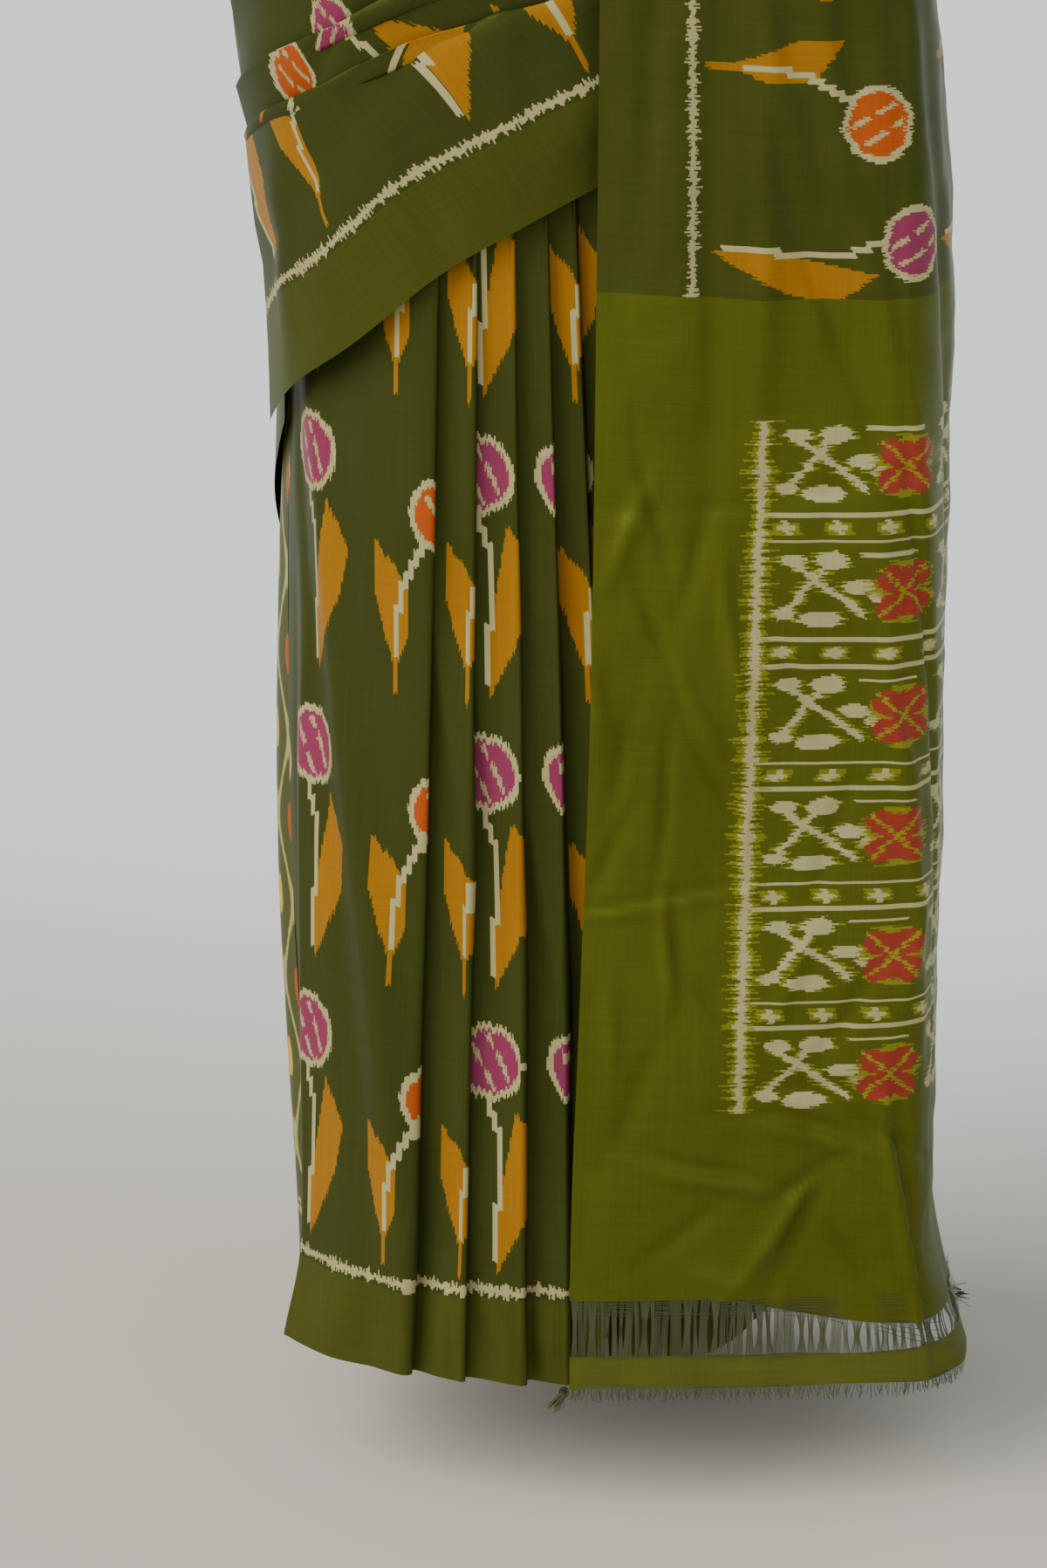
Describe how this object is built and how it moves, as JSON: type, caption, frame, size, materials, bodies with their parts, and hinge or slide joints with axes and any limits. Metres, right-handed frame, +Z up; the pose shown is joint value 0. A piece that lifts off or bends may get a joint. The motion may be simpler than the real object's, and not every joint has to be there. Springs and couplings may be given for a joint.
{
  "type": "saree",
  "caption": "Green silk ikat saree in worn form, pleated skirt, pleated front drape and a loose end over the left arm.",
  "frame": {"origin": "centre of the waist, where the cloth is tucked in and the wearer holds it up", "axes": "+Z up along the wearer, -Y to the front, +X to the wearer's left"},
  "size_m": [0.4192, 0.3722, 1.4288],
  "materials": {
    "flower_body": "satin",
    "net_body": "satin",
    "pallu_body": "satin",
    "end_threads": "satin"
  },
  "bodies": {
    "root": {"first_wrap": "net_body", "front_pleats": "flower_body", "second_wrap": "flower_body", "front_drape": "flower_body", "pallu_fall": "pallu_body", "open_warps": "end_threads", "pallu_end_band": "pallu_body", "end_fringe": "end_threads", "corner_tassel_front": "end_threads", "corner_tassel_back": "end_threads"}
  },
  "joints": []
}
